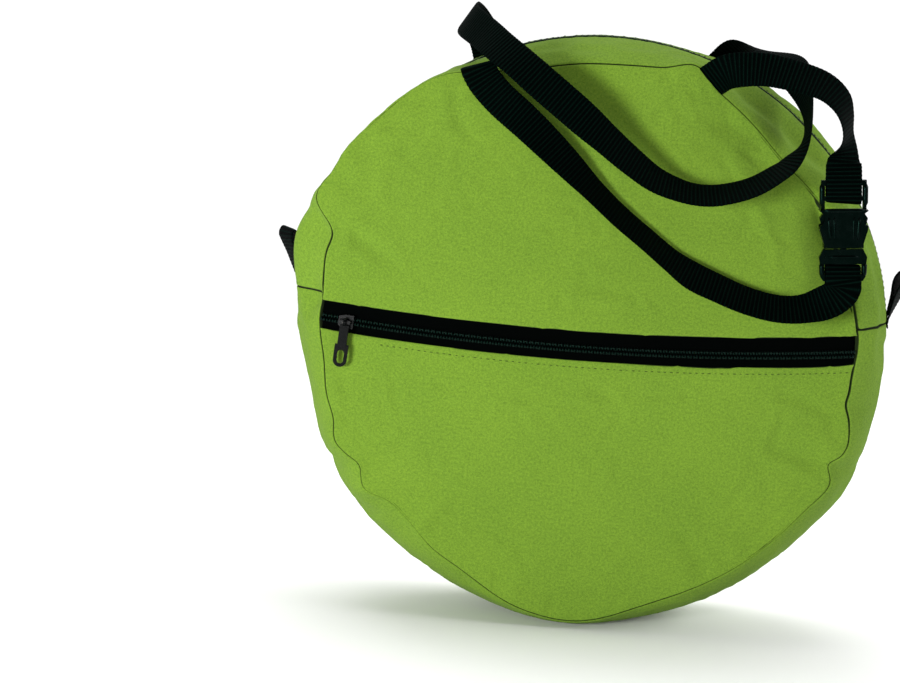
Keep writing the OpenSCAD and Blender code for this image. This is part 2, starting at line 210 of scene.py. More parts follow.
def plain_weave(tree, across, along, pitch):
    """Height of a plain weave whose threads lie pitch apart."""
    over = wave(tree, across, pitch)
    under = wave(tree, along, pitch)
    checker = math_node(tree, "MULTIPLY", over, under)
    top = math_node(tree, "MULTIPLY_ADD", checker, 0.5, 0.5)
    warp = math_node(tree, "MULTIPLY", math_node(tree, "ABSOLUTE", over), top)
    sunk = math_node(tree, "SUBTRACT", 1.0, top)
    weft = math_node(tree, "MULTIPLY", math_node(tree, "ABSOLUTE", under), sunk)
    return math_node(tree, "ADD", warp, weft)


BLACK = (0, 0, 0)
WHITE = (1, 1, 1)
GREEN = (0.124, 0.226, 0.021)
GREEN_DARK = (0.070, 0.142, 0.014)
GREEN_LIGHT = (0.186, 0.305, 0.026)
# Painted shade: the dark colour laid in the grooves and hems of the seams
PAINTED_SEAM_SHADE = (0.008, 0.015, 0.003)


def cloth_material(name, base, dark, light):
    """Plain woven cloth with speckled threads, and painted shade in the grooves of its seams."""
    mat, tree, shader = new_material(name, base, 0.9, sheen=0.02, specular=0.08)
    vector, across, along = weave_coordinates(tree)
    speckle = noise(tree, vector, 520, 4, 0.75)
    slubs = noise(tree, vector, 1150, 2, 0.7)
    patches = noise(tree, vector, 16, 4, 0.55)
    weave = plain_weave(tree, across, along, CLOTH_THREAD)
    color = ramp(tree, speckle, [(0.32, dark), (0.50, base), (0.68, light)])
    color = mix_color(tree, 0.35, color, ramp(tree, slubs, [(0.35, dark), (0.65, light)]))
    color = mix_color(tree, 0.10, color, ramp(tree, patches, [(0.35, dark), (0.65, light)]))
    gaps = ramp(tree, weave, [(0.05, (0.60, 0.60, 0.60)), (0.5, WHITE)])
    color = mix_color(tree, 0.6, color, gaps, "MULTIPLY")
    # Painted shade: the groove and hem points marked in turn_in_edges take the dark seam colour
    groove = add(tree, "ShaderNodeAttribute", attribute_name="seam")
    groove = ramp(tree, groove.outputs["Fac"], [(0.12, BLACK), (0.45, WHITE)])
    tree.links.new(mix_color(tree, groove, color, PAINTED_SEAM_SHADE), shader.inputs["Base Color"])
    height = math_node(tree, "ADD", weave, math_node(tree, "MULTIPLY", speckle, 1.2))
    bump(tree, shader, height, 0.55, 0.3 * MM)
    return mat


def webbing_material():
    """Black webbing with fine slanted threads, and a painted dark green highlight on the tops of the ribs.
    """
    mat, tree, shader = new_material("webbing_black", (0.0003, 0.001, 0.0007), 0.6, specular=0.012)
    shader.inputs["Specular Tint"].default_value = (0.4, 1.0, 0.8, 1)
    vector, across, along = weave_coordinates(tree)
    wobble = noise(tree, vector, 700, 2, 0.6)
    rib = math_node(tree, "POWER", math_node(tree, "ABSOLUTE", wave(tree, along, RIB)), 3.0)
    line = math_node(tree, "ADD", along, math_node(tree, "PINGPONG", across, 1.6 * MM))
    height = math_node(tree, "MULTIPLY_ADD", wave(tree, line, WEB_THREAD), 0.5, wobble)
    painted_rib_highlight = math_node(tree, "MULTIPLY_ADD", rib, 0.75, math_node(tree, "MULTIPLY", height, 0.25))
    # Painted highlight: rib tops, and to a lesser degree the raised threads, turn dark green as if lit;
    # between them the webbing stays black
    color = ramp(tree, painted_rib_highlight, [(0.20, (0.0001, 0.0002, 0.0002)), (0.75, (0.0003, 0.0014, 0.0010)),
                                (1.0, (0.0012, 0.0085, 0.0055))])
    tree.links.new(color, shader.inputs["Base Color"])
    bump(tree, shader, height, 0.5, 0.2 * MM)
    return mat


def tape_material():
    """Knitted black zip tape."""
    mat, tree, shader = new_material("zip_tape_black", (0.0005, 0.001, 0.0008), 0.8, specular=0.008)
    vector, across, along = weave_coordinates(tree)
    zigzag = math_node(tree, "ADD", along, math_node(tree, "PINGPONG", across, 1.2 * MM))
    fuzz = noise(tree, vector, 1500, 2, 0.6)
    height = math_node(tree, "MULTIPLY_ADD", wave(tree, zigzag, TAPE_THREAD), 0.5, fuzz)
    color = ramp(tree, height, [(0.1, (0.0002, 0.0003, 0.0003)), (0.9, (0.0006, 0.0012, 0.0010))])
    tree.links.new(color, shader.inputs["Base Color"])
    bump(tree, shader, height, 0.5, 0.15 * MM)
    return mat


def plastic_material(name, color, roughness, specular):
    """Moulded plastic with a fine grain and faint scuffs."""
    mat, tree, shader = new_material(name, color, roughness, specular=specular)
    shader.inputs["Specular Tint"].default_value = (0.30, 1.0, 0.75, 1)
    grain = object_noise(tree, 1800, 3, 0.6)
    wear = object_noise(tree, 120, 4, 0.6)
    lighter = tuple(min(1.0, c * 1.9 + 0.001) for c in color)
    tree.links.new(ramp(tree, wear, [(0.42, color), (0.75, lighter)]), shader.inputs["Base Color"])
    rough = math_node(tree, "MULTIPLY_ADD", wear, 0.25, roughness - 0.1)
    tree.links.new(rough, shader.inputs["Roughness"])
    bump(tree, shader, grain, 0.25, 0.05 * MM)
    return mat


def metal_material(name, specular, worn_from):
    """Black painted metal, bare where it is worn."""
    paint = (0.0012, 0.0016, 0.0015)
    mat, tree, shader = new_material(name, paint, 0.3, specular=specular)
    wear = object_noise(tree, 420, 5, 0.65)
    bare = ramp(tree, wear, [(worn_from, BLACK), (worn_from + 0.06, WHITE)])
    tree.links.new(mix_color(tree, bare, paint, (0.50, 0.46, 0.38)), shader.inputs["Base Color"])
    tree.links.new(bare, shader.inputs["Metallic"])
    tree.links.new(math_node(tree, "MULTIPLY_ADD", wear, 0.3, 0.12), shader.inputs["Roughness"])
    bump(tree, shader, wear, 0.06, 0.05 * MM)
    return mat


def thread_material(name, color):
    """Twisted sewing thread."""
    mat, tree, shader = new_material(name, color, 0.6, specular=0.08)
    twist = object_noise(tree, 2400, 2, 0.5)
    darker = tuple(c * 0.55 for c in color)
    tree.links.new(ramp(tree, twist, [(0.35, darker), (0.65, color)]), shader.inputs["Base Color"])
    bump(tree, shader, twist, 0.4, 0.1 * MM)
    return mat


CLOTH = cloth_material("green_cloth", GREEN, GREEN_DARK, GREEN_LIGHT)
LINING = cloth_material("lining_cloth", (0.13, 0.24, 0.03), (0.085, 0.165, 0.02), (0.18, 0.31, 0.04))
WEBBING = webbing_material()
TAPE = tape_material()
COIL = plastic_material("zip_coil_black", (0.0008, 0.0022, 0.0016), 0.42, 0.12)
PLASTIC = plastic_material("buckle_black", (0.0002, 0.0006, 0.0005), 0.22, 0.06)
SLIDER_METAL = metal_material("slider_metal_black", 0.14, 0.64)
PULL_METAL = metal_material("pull_metal_black", 0.05, 0.70)
THREAD = thread_material("green_thread", (0.050, 0.090, 0.012))
BLACK_THREAD = thread_material("black_thread", (0.006, 0.016, 0.011))


# ---- Mesh helpers ----
def link_object(name, data):
    obj = bpy.data.objects.new(name, data)
    bpy.context.scene.collection.objects.link(obj)
    return obj


def shade(mesh, smooth=True):
    mesh.polygons.foreach_set("use_smooth", [smooth] * len(mesh.polygons))


def make_object(name, vertices, faces, material, smooth=True):
    mesh = bpy.data.meshes.new(name)
    mesh.from_pydata([tuple(v) for v in vertices], [], faces)
    mesh.validate()
    mesh.materials.append(material)
    shade(mesh, smooth)
    return link_object(name, mesh)


def coordinates(obj):
    co = np.zeros(len(obj.data.vertices) * 3)
    obj.data.vertices.foreach_get("co", co)
    return co.reshape(-1, 3)


def set_weave(obj, values):
    """Stores the cloth's flat coordinates, which the materials read."""
    layer = obj.data.attributes.get("weave") or obj.data.attributes.new("weave", "FLOAT_VECTOR", "POINT")
    layer.data.foreach_set("vector", np.asarray(values, np.float32).ravel())


def apply_modifiers(obj):
    depsgraph = bpy.context.evaluated_depsgraph_get()
    mesh = bpy.data.meshes.new_from_object(obj.evaluated_get(depsgraph), depsgraph=depsgraph)
    obj.modifiers.clear()
    obj.data = mesh
    return obj


def subdivide(obj):
    smooth = obj.modifiers.new("smooth", "SUBSURF")
    smooth.levels = smooth.render_levels = 1
    return apply_modifiers(obj)


def thicken(obj, thickness, offset=-1):
    solid = obj.modifiers.new("thickness", "SOLIDIFY")
    solid.thickness = thickness
    solid.offset = offset
    return apply_modifiers(obj)


# Angles of the points round a thread, a coil tooth or a ridge
CIRCLE = [2 * math.pi * k / 6 for k in range(6)]


def grid_faces(rows, closed=False):
    """Faces between rows of point numbers; each row is a ring if they are closed."""
    faces = []
    for low, high in zip(rows, rows[1:]):
        for k in range(len(low) if closed else len(low) - 1):
            after = (k + 1) % len(low)
            faces.append([low[k], low[after], high[after], high[k]])
    return faces


def tube_faces(start, rings, sides):
    """Faces of a tube whose rings of points follow each other from start, closed at both ends."""
    rows = [list(range(start + i * sides, start + (i + 1) * sides)) for i in range(rings)]
    return grid_faces(rows, closed=True) + [rows[0][::-1], rows[-1]]


def crown_s(r):
    """Distance of an end panel in front of the middle plane, at distance r from the axis."""
    return CROWN_S - CROWN_R + np.sqrt(CROWN_R ** 2 - np.minimum(r, SEAM_R) ** 2)


def gusset_radius(s):
    """Distance of the side band from the axis, at distance s in front of the middle plane."""
    return BAG_R - GUSSET_R + np.sqrt(GUSSET_R ** 2 - s ** 2)


def pocket_v(points):
    """How far points lie above the pocket zip's plane, measured up the cloth."""
    return (points - np.array(PZ_CENTRE)) @ np.array(PZ_NORMAL) / math.cos(PZ_TILT)


# ---- The cloth shell: one closed mesh that is filled and puckered, then cut up ----
# How firmly the loose cloth and the seams keep their place as the bag fills
HOLD = 0.38
SEAM_HOLD = 0.9
FLOOR_CLEAR = 0.3 * MM
# Points of a cut edge that lie closer than this are joined
WELD = 0.9 * MM
DISC_N = 80
# The disc's grid lines beside its rim, drawn out towards it
RIM_LINE = 0.987
# Rows of the side band in front of the middle plane, in mm
GUSSET_ROWS = (52.4, 47.5, 41, 34.5, 28, 21.3, 14.6, 8, 2.7)


def ring_cells(n):
    """Indices of a square grid's outline, counter-clockwise from its lower right corner."""
    return ([(n, j) for j in range(n)] + [(i, n) for i in range(n, 0, -1)]
            + [(0, j) for j in range(n, 0, -1)] + [(i, 0) for i in range(n)])


def shell_mesh():
    """Points, faces, the kind of each face and the two seams' rings of the closed drum."""
    n = DISC_N
    points, faces, kinds = [], [], []
    t = np.linspace(-1, 1, n + 1)
    t[1], t[-2] = -RIM_LINE, RIM_LINE
    discs = []
    for side in (1, -1):
        index = {}
        for i in range(n + 1):
            for j in range(n + 1):
                x = SEAM_R * t[i] * math.sqrt(1 - t[j] ** 2 / 2)
                z = SEAM_R * t[j] * math.sqrt(1 - t[i] ** 2 / 2)
                index[i, j] = len(points)
                points.append((x, -side * float(crown_s(math.hypot(x, z))), AXIS_Z + z))
        for i in range(n):
            for j in range(n):
                quad = [index[i, j], index[i + 1, j], index[i + 1, j + 1], index[i, j + 1]]
                faces.append(quad if side == 1 else quad[::-1])
                kinds.append("front" if side == 1 else "back")
        discs.append([index[c] for c in ring_cells(n)])
    rows = [r * MM for r in GUSSET_ROWS]
    rows = rows + [-r for r in rows[::-1]]
    rings = [discs[0]]
    for s in rows:
        r = SLOT_EDGE_R if abs(s) <= ZIP_SLOT else float(gusset_radius(s))
        ring = []
        for k in discs[0]:
            x, _, z = points[k]
            d = math.hypot(x, z - AXIS_Z)
            ring.append(len(points))
            points.append((x * r / d, -s, AXIS_Z + (z - AXIS_Z) * r / d))
        rings.append(ring)
    rings.append(discs[1])
    band = [quad[::-1] for quad in grid_faces(rings, closed=True)]
    return np.array(points), faces + band, kinds + ["gusset"] * len(band), discs


def smooth_noise(points, scale, seed):
    """Soft, repeatable noise between -1 and 1 made of a few sine waves."""
    rng = np.random.RandomState(seed)
    total = np.zeros(len(points))
    for _ in range(9):
        direction = rng.normal(size=3)
        direction *= 2 * math.pi / scale / np.linalg.norm(direction) * rng.uniform(0.6, 1.5)
        total += np.sin(points @ direction + rng.uniform(0, 2 * math.pi))
    return total / 4.5


def polar(points):
    r = np.hypot(points[:, 0], points[:, 2] - AXIS_Z)
    angle = np.arctan2(points[:, 2] - AXIS_Z, points[:, 0])
    return r, angle


# Where the front seam strays from a circle: angle, spread of angle and shift outwards in mm
FRONT_SEAM_BUMPS = (
    (174, 9, 3), (164, 4.5, 5), (157, 2.2, 7), (154.6, 4.2, 21), (148, 6, 21), (140, 7, 21), (131, 7, 20),
    (122, 7, 19), (112, 6, 5), (-165, 6, 4), (100, 14, 4.5), (76, 12, 7), (74, 4, 9), (47, 12, -8),
    (17, 16, -7.5), (-5, 7, -6), (-10, 2.2, -3.5), (-18, 3, 2.5), (-23.7, 1.8, -7.5), (-28, 4, 2.5),
    (-90, 12, 11), (-103, 8, 4), (-118, 7, -2), (-132, 7, -7), (-137.5, 3, -3), (-143, 2.5, 3.5),
    (-148, 2.2, -3.5), (-155, 3.5, 6)
)
BACK_SEAM_BUMPS = (
    (116, 7, 10), (67, 6, 9), (91, 12, 4), (140, 9, -4), (-88, 14, 10), (-40, 5, 5), (-120, 6, -5),
    (20, 8, -5), (170, 7, 4)
)
# Bulges of the whole side: angle, spread of angle, middle and spread of s in mm, height in mm
SIDE_BULGES = (
    (-27, 9, 0, 80, 4.5), (0, 14, 0, 80, -2), (-166, 12, 0, 80, -7), (-128, 22, 0, 80, -4),
    (164, 9, 27, 14, 13), (44, 26, -28, 16, 8), (140, 20, 26, 14, 3), (36, 24, 24, 11, -4),
    (-60, 14, -20, 22, 3)
)
# How far each edge draws back from its seam in mm, and where the front seam gapes: angle, spread of
# angle and how much further in mm
SEAM_GAPS = ((6, 9, 1.3), (-9, 7, 0.8), (160, 5, 0.9), (171.5, 3, 0.6), (-150, 8, 0.3))
SEAM_GAP = 0.65
# Small dents in the side: angle, spread of angle, middle and spread of s in mm, depth in mm
SIDE_DENTS = (
    (174.5, 3.3, 45, 8, 9), (60, 8, 34, 12, 6), (47, 7, 32, 13, 6), (-26, 4, 30, 14, 2),
    (-150, 4, 20, 22, 2), (-35, 5, -42, 12, 4), (20, 5, -40, 12, 3), (150, 5, -44, 12, 3),
    (-95, 5, -40, 14, 3), (100, 6, -40, 12, 2)
)
# Soft creases of the front: ends in mm across and up from the bag's centre, spread and depth in mm
FRONT_CREASES = (
    ((84, 168), (154, 90), 11, 3.6), ((162, 122), (171, 34), 15, 18.0), ((92, 150), (132, 60), 10, -2.4),
    ((176, -40), (142, -26), 7, 2.2), ((168, -78), (138, -66), 7, 2.6), ((180, -62), (150, -52), 6, -2.0),
    ((96, -168), (78, -140), 7, 2.2), ((-160, -104), (-134, -88), 7, 2.2),
    ((-120, -150), (-104, -128), 7, -2), ((-176, 66), (-150, 50), 7, 2.0),
    ((-112, 178), (-104, 150), 7, 1.6), ((-60, 182), (-10, 170), 9, 1.6),
    ((-150, 20), (-60, -20), 26, -1.6), ((20, -60), (120, -110), 30, 1.6)
)
BACK_CREASES = (
    ((-90, 170), (-50, 110), 10, 3), ((80, 172), (60, 120), 10, 3), ((-150, -60), (-90, -100), 14, 3),
    ((150, -50), (96, -90), 12, 3), ((0, 40), (90, -10), 30, 2), ((-170, 60), (-120, 20), 12, 2.5)
)


def bell(x, spread):
    return np.exp(-(x / spread) ** 2)


def turn_between(angle, middle):
    """Degrees from a middle to an angle in radians, the shorter way round."""
    return (np.degrees(angle) - middle + 180) % 360 - 180


def shape_sides(points):
    """Moves the seams and the side of the filled bag out and in, as the soft cloth does."""
    r, angle = polar(points)
    s = -points[:, 1]
    shift = np.zeros(len(points))
    beside_slot = ZIP_SLOT + 4 * MM
    for sign, bumps in ((1, FRONT_SEAM_BUMPS), (-1, BACK_SEAM_BUMPS)):
        near = np.clip((sign * s - beside_slot) / (HALF_DEPTH - beside_slot), 0, 1) ** 1.6
        near *= bell(np.maximum(SEAM_R - r, 0), 26 * MM)
        for middle, spread, amount in bumps:
            shift += amount * MM * near * bell(turn_between(angle, middle), spread)
    zip_rows = np.clip((np.abs(s) - ZIP_SLOT - 1 * MM) / (10 * MM), 0, 1)
    free = np.where(points[:, 2] > FOLD_Z - 12 * MM, zip_rows, 1)
    free = free * np.clip((r - SEAM_R + 45 * MM) / (45 * MM), 0, 1)
    for table, sign in ((SIDE_BULGES, 1), (SIDE_DENTS, -1)):
        for middle, spread, s_middle, s_spread, amount in table:
            near = bell(turn_between(angle, middle), spread) * bell(s / MM - s_middle, s_spread)
            shift += sign * amount * MM * free * near
    points[:, 0] += shift * np.cos(angle)
    points[:, 2] += shift * np.sin(angle)
    return points


def line_distance(points, start, end):
    """Distance across and up from a line drawn on the front, in mm, and how far along it."""
    a = np.array(start, float)
    d = np.array(end, float) - a
    q = np.c_[points[:, 0], points[:, 2] - AXIS_Z] / MM - a
    t = np.clip(q @ d / (d @ d), 0, 1)
    return np.linalg.norm(q - t[:, None] * d, axis=1), t


def crease_panels(points):
    """Soft creases of the two end panels."""
    r, _ = polar(points)
    s = -points[:, 1]
    band = np.clip((np.abs(pocket_v(points)) - 13 * MM) / (18 * MM), 0, 1)
    for sign, creases in ((1, FRONT_CREASES), (-1, BACK_CREASES)):
        inside = (sign * s > HALF_DEPTH - 1 * MM) * np.clip((SEAM_R - r) / (12 * MM), 0.25, 1)
        inside = inside * (band if sign == 1 else 1)
        for start, end, spread, depth in creases:
            away, t = line_distance(points, start, end)
            shift = depth * MM * inside * bell(away, spread) * (1 - 0.55 * t)
            points[:, 1] += sign * shift
    return points


def pin_weights(points, seam_away):
    """1 where the cloth is sewn to a zip or pressed on the floor, fading to a light hold elsewhere."""
    s = np.abs(points[:, 1])
    v = pocket_v(points)
    on_panel = s > HALF_DEPTH - 1 * MM
    from_slot = np.where(points[:, 2] > FOLD_Z - 20 * MM, s - ZIP_SLOT - 0.5 * MM, 1)
    from_band = np.maximum(v - POCKET_EDGE_UP, POCKET_EDGE_DOWN - v) - 4 * MM
    from_band = np.where(on_panel & (points[:, 1] < 0), from_band, 1)
    from_base = points[:, 2] - 1 * MM
    away = np.clip(np.minimum(np.minimum(from_slot, from_band), from_base) / (24 * MM), 0, 1)
    weights = 1 - (1 - HOLD) * away * away * (3 - 2 * away)
    from_seam = np.hypot(np.maximum(HALF_DEPTH - s, 0), np.where(on_panel, seam_away, 0))
    return np.maximum(weights, SEAM_HOLD * bell(from_seam, 9 * MM))


def fill_cloth(points, faces, seam_rings, seam_away):
    """Blows the shell up a little while its seams draw tight, which puckers the cloth beside them."""
    last_frame = 26
    cap = 9 * MM
    obj = make_object("shell_sim", points, faces, CLOTH)
    pin = obj.vertex_groups.new(name="pin")
    for i, w in enumerate(pin_weights(points, seam_away)):
        pin.add([i], float(w), "REPLACE")
    seam = obj.vertex_groups.new(name="seam")
    seam.add([i for ring in seam_rings for i in ring], 1.0, "REPLACE")
    cloth = obj.modifiers.new("cloth", "CLOTH")
    settings = cloth.settings
    settings.quality = 6
    settings.mass = 0.25
    settings.tension_stiffness = 25
    settings.compression_stiffness = 25
    settings.shear_stiffness = 12
    settings.bending_stiffness = 0.15
    settings.vertex_group_mass = "pin"
    settings.vertex_group_shrink = "seam"
    settings.shrink_min = -0.025
    settings.shrink_max = 0.012
    settings.use_pressure = True
    settings.uniform_pressure_force = 3.0
    settings.effector_weights.gravity = 0
    cloth.collision_settings.use_collision = False
    scene = bpy.context.scene
    for number in range(1, last_frame + 1):
        scene.frame_set(number)
    depsgraph = bpy.context.evaluated_depsgraph_get()
    moved = coordinates(obj.evaluated_get(depsgraph))
    scene.frame_set(1)
    bpy.data.objects.remove(obj)
    step = moved - points
    length = np.linalg.norm(step, axis=1)
    step *= (cap * np.tanh(length / cap) / np.maximum(length, 1e-9))[:, None]
    return points + step


shell_points, shell_faces, shell_kinds, seam_rings = shell_mesh()
seam_away = np.maximum(SEAM_R - polar(shell_points)[0], 0)
shell_points = shape_sides(shell_points)
shell_points = crease_panels(shell_points)
shell_points[:, 2] = np.maximum(shell_points[:, 2], FLOOR_CLEAR)
shell_points = fill_cloth(shell_points, shell_faces, seam_rings, seam_away)
shell_points[:, 2] = np.maximum(shell_points[:, 2], FLOOR_CLEAR)
shell_tree = BVHTree.FromPolygons([tuple(p) for p in shell_points], shell_faces)


def on_cloth(point, inward, lift):
    """Where a line from a point reaches the shell, raised by lift."""
    hit = shell_tree.ray_cast(point, inward)[0]
    return (hit or point) - inward * lift


def edge_offsets(co, kind):
    """For a point on a piece's edge: where the cloth turns in, and where its hidden hem ends."""
    r = math.hypot(co.x, co.z - AXIS_Z)
    radial = Vector((co.x / r, 0, (co.z - AXIS_Z) / r))
    back = Vector((0, math.copysign(1, -co.y), 0))
    if kind == "gusset":
        if abs(co.y) < ZIP_SLOT + 3 * MM:
            return -radial * 1.3 * MM, -radial * 1.7 * MM - back * 4 * MM
        if abs(abs(co.y) - HALF_DEPTH) > 8 * MM:
            return -radial * 1.8 * MM, -radial * 5 * MM
    v = float(pocket_v(np.array([co]))[0])
    for edge, up in ((POCKET_EDGE_UP, 1), (POCKET_EDGE_DOWN, -1)):
        if kind == "front" and abs(v - edge) < 1.5 * MM:
            return Vector((0, 1.2 * MM, 0)), Vector((0, 3 * MM, up * 3 * MM))
    inward = (back - radial).normalized()
    return inward * 1.6 * MM, inward * 3.5 * MM


def cut_piece(name, kind, planes, slotted):
    """The faces of one kind, cut by planes of (point, normal) whose normal side is thrown away."""
    mesh = bmesh.new()
    verts = [mesh.verts.new(p) for p in shell_points]
    for face, k in zip(shell_faces, shell_kinds):
        if k != kind:
            continue
        if slotted and abs(shell_points[face].mean(axis=0)[1]) < ZIP_SLOT:
            continue
        mesh.faces.new([verts[i] for i in face])
    loose = [v for v in mesh.verts if not v.link_faces]
    bmesh.ops.delete(mesh, geom=loose, context="VERTS")
    for point, normal in planes:
        geom = mesh.verts[:] + mesh.edges[:] + mesh.faces[:]
        bmesh.ops.bisect_plane(mesh, geom=geom, plane_co=point, plane_no=normal, clear_outer=True,
                               dist=1e-6)
    bmesh.ops.remove_doubles(mesh, verts=mesh.verts[:], dist=WELD)
    turn_in_edges(mesh, kind)
    data = bpy.data.meshes.new(name)
    mesh.to_mesh(data)
    mesh.free()
    data.materials.append(CLOTH)
    shade(data)
    return subdivide(link_object(name, data))


def seam_gap(co):
    """How far an edge draws back from its seam, which gapes in a few places of the front."""
    gap = SEAM_GAP
    if co.y < -HALF_DEPTH / 2:
        angle = math.atan2(co.z - AXIS_Z, co.x)
        for middle, spread, more in SEAM_GAPS:
            gap += more * bell(turn_between(angle, middle), spread)
    return gap * MM


def extrude_edges(mesh, edges):
    """Extrudes open edges and returns {old vertex: new vertex} and the new edges."""
    made = bmesh.ops.extrude_edge_only(mesh, edges=edges)["geom"]
    new_verts = {v for v in made if isinstance(v, bmesh.types.BMVert)}
    new_edges = [e for e in made if isinstance(e, bmesh.types.BMEdge)]
    pairs = {}
    for v in new_verts:
        for e in v.link_edges:
            other = e.other_vert(v)
            if other not in new_verts:
                pairs[other] = v
    return pairs, new_edges


def turn_in_edges(mesh, kind):
    """Rolls every open edge of a piece in, so that two pieces meet in a groove as they do at a seam, and
    marks the groove and hem points where the cloth's material paints shade.
    """
    seam = mesh.verts.layers.float.new("seam")
    edges = [e for e in mesh.edges if e.is_boundary]
    rim = {v for e in edges for v in e.verts}
    shift, inner = {}, {}
    for v in rim:
        inside = [e.other_vert(v) for e in v.link_edges if e.other_vert(v) not in rim]
        near = edge_offsets(v.co, kind)
        inner[v] = (v.co.copy(), near)
        if inside:
            toward = sum((o.co for o in inside), Vector()) / len(inside) - v.co
            shift[v] = toward * min(0.7, seam_gap(v.co) / max(toward.length, 1e-6))
    pairs, new_edges = extrude_edges(mesh, edges)
    for v, made in pairs.items():
        co, (groove, _) = inner[v]
        made.co = co + groove
        made[seam] = 1
        v.co = v.co + shift.get(v, Vector())
    back = {made: v for v, made in pairs.items()}
    pairs, _ = extrude_edges(mesh, new_edges)
    for v, made in pairs.items():
        co, (_, hem) = inner[back[v]]
        made.co = co + hem
        made[seam] = 1


def panel_weave(obj):
    co = coordinates(obj)
    set_weave(obj, np.c_[co[:, 0], co[:, 2], co[:, 1] * 0])


def gusset_weave(obj, from_top):
    co = coordinates(obj)
    up = co[:, 2] - AXIS_Z
    angle = np.arctan2(co[:, 0], up if from_top else -up)
    set_weave(obj, np.c_[angle * BAG_R, co[:, 1], co[:, 1] * 0])


def hang(piece, bends):
    """Lets a piece follow the bag, or bakes it in place, unattached, if it bends at the fold line."""
    if bends:
        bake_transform(piece)
    else:
        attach(piece, "bag")


def cloth_piece(name, nodes, kind, planes, weave, bends=False, slotted=False):
    """One cut of the shell, with its hems, that stands for CAD nodes; slotted leaves out the zip's slot."""
    obj = thicken(cut_piece(name, kind, planes, slotted), CLOTH_T)
    weave(obj)
    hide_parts(*nodes)
    hang(obj, bends)


def zip_plane(v):
    return Vector((0, -CROWN_S, PZ_Z + v))


UP = Vector((0, 0, 1))
BACKWARDS = Vector((0, 1, 0))
MIDDLE = Vector()
FOLD = Vector((0, 0, FOLD_Z))
cloth_piece("front_panel", ["front_panel_upper", "front_panel_fold"], "front",
            [(zip_plane(POCKET_EDGE_UP), -PZ_NORMAL)], panel_weave, bends=True)
cloth_piece("pocket_panel_cloth", ["pocket_panel"], "front", [(zip_plane(POCKET_EDGE_DOWN), PZ_NORMAL)],
            panel_weave)
cloth_piece("back_panel_cloth", ["back_panel"], "back", [], panel_weave)
cloth_piece("lower_gusset_cloth", ["gusset_lower"], "gusset", [(FOLD, UP)],
            lambda o: gusset_weave(o, False))
for word, outward in (("front", BACKWARDS), ("back", -BACKWARDS)):
    cloth_piece(f"upper_gusset_{word}_cloth", [f"gusset_upper_{word}"], "gusset",
                [(FOLD, -UP), (MIDDLE, outward)], lambda o: gusset_weave(o, True),
                bends=word == "front", slotted=True)


# ---- Zips ----
def main_point(angle, s, r):
    return Vector((r * math.cos(angle), -s, AXIS_Z + r * math.sin(angle)))


def pocket_frame(swing):
    """Origin, up and out of the pocket zip at an angle from its middle."""
    out_radial = PZ_OUT * math.cos(swing) + Vector((1, 0, 0)) * math.sin(swing)
    out = out_radial * math.cos(PZ_TILT) + PZ_NORMAL * math.sin(PZ_TILT)
    up = PZ_NORMAL * math.cos(PZ_TILT) - out_radial * math.sin(PZ_TILT)
    return PZ_CENTRE + out_radial * PZ_R, up, out


def pocket_point(swing, v, w):
    origin, up, out = pocket_frame(swing)
    return origin + up * v + out * w


MAIN_FIRST = math.pi - ZIP_END - 0.012
MAIN_LAST = ZIP_END + 0.012
MAIN_LENGTH = BAG_R * (MAIN_FIRST - MAIN_LAST)
PZ_FIRST = -1.030 * PZ_SWING
PZ_LAST = 0.988 * PZ_SWING
PZ_LENGTH = (PZ_LAST - PZ_FIRST) * PZ_R
# Lines along a tape, at these distances from the zip's middle
TAPE_EDGES = [0.1 * MM + 13.9 * MM * k / 5 for k in range(6)]
COIL_PITCH = 2.1 * MM
CLOTH_STITCH = 4.4 * MM


def strip(name, place, first, last, steps, length):
    """Tape along a zip: place(t, e) gives the point at t along it for one of its edges e."""
    points, rows, weave = [], [], []
    for i in range(steps + 1):
        t = first + (last - first) * i / steps
        rows.append(range(len(points), len(points) + len(TAPE_EDGES)))
        for e in TAPE_EDGES:
            points.append(place(t, e))
            weave.append((e, length * i / steps, 0))
    obj = make_object(name, points, grid_faces(rows), TAPE)
    set_weave(obj, weave)
    return thicken(obj, TAPE_T, offset=0)


def tooth_points(width, height):
    """Outline of a coil's turn, seen along the zip: a rounded arch of points across and out."""
    turns = [math.pi * k / 6 for k in range(7)]
    return [(width / 2 - width / 2 * math.cos(a), height * math.sin(a) ** 0.6) for a in turns]


def coil(name, place, first, last, count, side):
    """A row of coil turns. place(t, across, out) gives a point; side is the row's side of the middle."""
    points, faces = [], []
    shape = tooth_points(COIL_W, COIL_H - 0.7 * MM)
    pitch = (last - first) / count
    for i in range(count):
        t = first + pitch * (i + 0.5 + 0.25 * side)
        faces += tube_faces(len(points), len(shape), len(CIRCLE))
        for across, out in shape:
            for a in CIRCLE:
                points.append(place(t + pitch * 0.30 * math.cos(a), side * (COIL_GAP + across * 0.98),
                                    0.45 * MM + out + 0.35 * MM * math.sin(a)))
    return make_object(name, points, faces, COIL)


def round_bars(name, lines, radius, material):
    """Round bars with tapered ends, such as stitches: each follows one of the lists of points."""
    points, faces = [], []
    for line in lines:
        faces += tube_faces(len(points), len(line), len(CIRCLE))
        last = len(line) - 1
        for i, p in enumerate(line):
            along = (line[min(i + 1, last)] - line[max(i - 1, 0)]).normalized()
            side = along.orthogonal().normalized()
            other = along.cross(side)
            r = radius * (0.35 if i in (0, last) else 1)
            points += [p + side * r * math.cos(a) + other * r * math.sin(a) for a in CIRCLE]
    return make_object(name, points, faces, material)


def stitch_row(place, first, last, count, fill=0.62, lift=0.25 * MM):
    """Stitches along place(t, out), each dipping into the cloth at both ends."""
    pitch = (last - first) / count
    lines = []
    for i in range(count):
        start = first + pitch * (i + (1 - fill) / 2)
        lines.append([place(start + pitch * fill * k / 4, h * lift)
                      for k, h in enumerate((-1.6, 0.6, 1, 0.6, -1.6))])
    return lines


